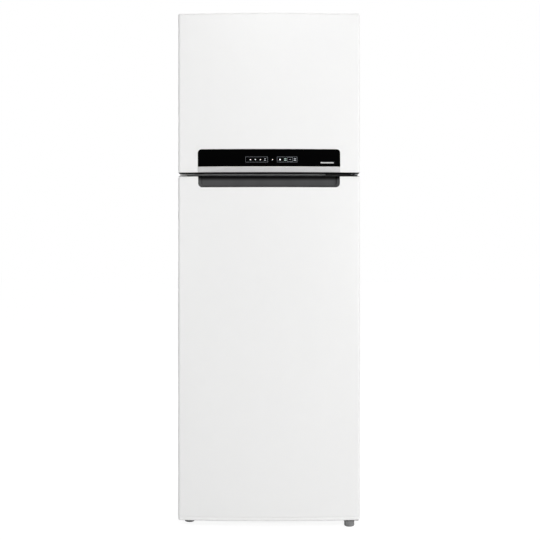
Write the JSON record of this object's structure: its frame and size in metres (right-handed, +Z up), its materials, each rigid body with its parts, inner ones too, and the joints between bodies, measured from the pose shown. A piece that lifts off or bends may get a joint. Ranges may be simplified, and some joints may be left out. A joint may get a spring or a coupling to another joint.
{
  "type": "top freezer refrigerator",
  "caption": "Upright two-door refrigerator, freezer on top, with bowed white doors, a black touch panel over a silver strip, and a recessed grip between the doors.",
  "frame": {"origin": "middle of the overall box at floor level, under the levelling feet and rollers", "axes": "+X to the right seen from the front, +Y from the doors to the condenser at the back, +Z up"},
  "size_m": [0.62, 0.69, 1.757],
  "materials": {
    "white_paint": "smooth semi-gloss powder coat",
    "white_plastic": "fine satin moulding",
    "liner_plastic": "thermoformed, softly glossy",
    "gasket_vinyl": "soft matt vinyl",
    "foam": "rigid insulating foam, rough cut",
    "gloss_black": "mirror-smooth black",
    "brushed_silver": "brushed along its length",
    "dark_plastic": "fine grained dark grey",
    "black_steel": "satin black enamel",
    "zinc_steel": "zinc-coated sheet",
    "grey_rubber": "ribbed grey polymer",
    "aluminium": "plain mill finish",
    "clear_plastic": "clear, slightly cool",
    "shelf_glass": "clear tempered, green edge",
    "lamp_white": "translucent diffuser"
  },
  "bodies": {
    "cabinet": {"cabinet_wrapper": "white_paint", "rear_panel": "zinc_steel", "base_deck": "black_steel", "cabinet_foam": "foam", "freezer_liner": "liner_plastic", "fridge_liner": "liner_plastic", "middle_rail": "white_paint", "top_hinge": "zinc_steel", "top_hinge_cover": "white_plastic", "middle_hinge": "black_steel", "bottom_hinge": "black_steel", "cord_gland": "grey_rubber", "compressor": "black_steel", "relay_box": "dark_plastic", "drain_pan": "dark_plastic", "condenser_coil": "black_steel", "condenser_wires": "black_steel", "evaporator": "aluminium", "evaporator_cover": "liner_plastic", "fan_motor": "zinc_steel", "air_duct": "liner_plastic", "freezer_shelf": "shelf_glass", "ice_tray_frame": "white_plastic", "ice_bin": "clear_plastic", "crisper_cover": "shelf_glass", "lamp_cover": "lamp_white", "glass_shelf_1": "shelf_glass", "glass_shelf_2": "shelf_glass", "glass_shelf_3": "shelf_glass"},
    "freezer_door": {"freezer_door_skin": "white_paint", "freezer_door_top_cap": "white_plastic", "freezer_door_bottom_cap": "white_plastic", "freezer_door_foam": "foam", "freezer_door_liner": "liner_plastic", "freezer_door_gasket": "gasket_vinyl", "control_panel": "gloss_black", "handle_trim": "brushed_silver", "freezer_door_bin": "clear_plastic"},
    "fridge_door": {"fridge_door_skin": "white_paint", "fridge_door_top_cap": "white_plastic", "fridge_door_bottom_cap": "white_plastic", "fridge_door_foam": "foam", "fridge_door_liner": "liner_plastic", "fridge_door_gasket": "gasket_vinyl", "handle_pocket": "dark_plastic", "dairy_bin": "clear_plastic", "door_bin_middle": "clear_plastic", "bottle_bin": "clear_plastic"},
    "dairy_lid": {"dairy_lid": "clear_plastic"},
    "evaporator_fan": {"evaporator_fan": "white_plastic"},
    "damper_flap": {"damper_flap": "white_plastic"},
    "ice_tray_left": {"ice_tray_left": "clear_plastic"},
    "ice_tray_right": {"ice_tray_right": "clear_plastic"},
    "crisper_drawer": {"crisper_drawer": "clear_plastic"},
    "chill_drawer": {"chill_drawer": "clear_plastic"},
    "humidity_slider": {"humidity_slider": "white_plastic"},
    "foot_left": {"foot_left": "grey_rubber"},
    "foot_right": {"foot_right": "grey_rubber"},
    "roller_left": {"roller_left": "dark_plastic"},
    "roller_right": {"roller_right": "dark_plastic"}
  },
  "joints": [
    {"name": "freezer_door_hinge", "type": "hinge", "parent": "cabinet", "child": "freezer_door", "pos_m": [0.292, -0.3, 1.48], "axis": [0, 0, 1], "range_deg": [0, 125]},
    {"name": "fridge_door_hinge", "type": "hinge", "parent": "cabinet", "child": "fridge_door", "pos_m": [0.292, -0.3, 0.61], "axis": [0, 0, 1], "range_deg": [0, 125]},
    {"name": "dairy_lid_hinge", "type": "hinge", "parent": "fridge_door", "child": "dairy_lid", "pos_m": [0, -0.256, 1.041], "axis": [1, 0, 0], "range_deg": [0, 80]},
    {"name": "crisper_slide", "type": "slide", "parent": "cabinet", "child": "crisper_drawer", "axis": [0, -1, 0], "range_m": [0, 0.15]},
    {"name": "chill_slide", "type": "slide", "parent": "cabinet", "child": "chill_drawer", "axis": [0, -1, 0], "range_m": [0, 0.225]},
    {"name": "humidity_slide", "type": "slide", "parent": "cabinet", "child": "humidity_slider", "axis": [1, 0, 0], "range_m": [0, 0.04]},
    {"name": "ice_tray_left_turn", "type": "hinge", "parent": "cabinet", "child": "ice_tray_left", "pos_m": [-0.1845, 0, 1.392], "axis": [0, 1, 0], "range_deg": [0, 130], "stiffness_Nm_per_rad": 0.2},
    {"name": "ice_tray_right_turn", "type": "hinge", "parent": "cabinet", "child": "ice_tray_right", "pos_m": [-0.0675, 0, 1.392], "axis": [0, 1, 0], "range_deg": [0, 130], "stiffness_Nm_per_rad": 0.2},
    {"name": "evaporator_fan_spin", "type": "hinge", "parent": "cabinet", "child": "evaporator_fan", "pos_m": [0, 0.197, 1.56], "axis": [0, 1, 0], "continuous": true},
    {"name": "damper_flap_hinge", "type": "hinge", "parent": "cabinet", "child": "damper_flap", "pos_m": [0, 0.2452, 1.136], "axis": [1, 0, 0], "range_deg": [0, 85]},
    {"name": "foot_left_adjust", "type": "slide", "parent": "cabinet", "child": "foot_left", "axis": [0, 0, -1], "range_m": [0, 0.008]},
    {"name": "foot_right_adjust", "type": "slide", "parent": "cabinet", "child": "foot_right", "axis": [0, 0, -1], "range_m": [0, 0.008]},
    {"name": "roller_left_spin", "type": "hinge", "parent": "cabinet", "child": "roller_left", "pos_m": [-0.25, 0.262, 0.0125], "axis": [1, 0, 0], "continuous": true},
    {"name": "roller_right_spin", "type": "hinge", "parent": "cabinet", "child": "roller_right", "pos_m": [0.25, 0.262, 0.0125], "axis": [1, 0, 0], "continuous": true}
  ],
  "couplings": [
    {"joint": "crisper_slide", "follows": "fridge_door_hinge", "m_per_rad": 0.0685},
    {"joint": "chill_slide", "follows": "fridge_door_hinge", "m_per_rad": 0.103}
  ]
}
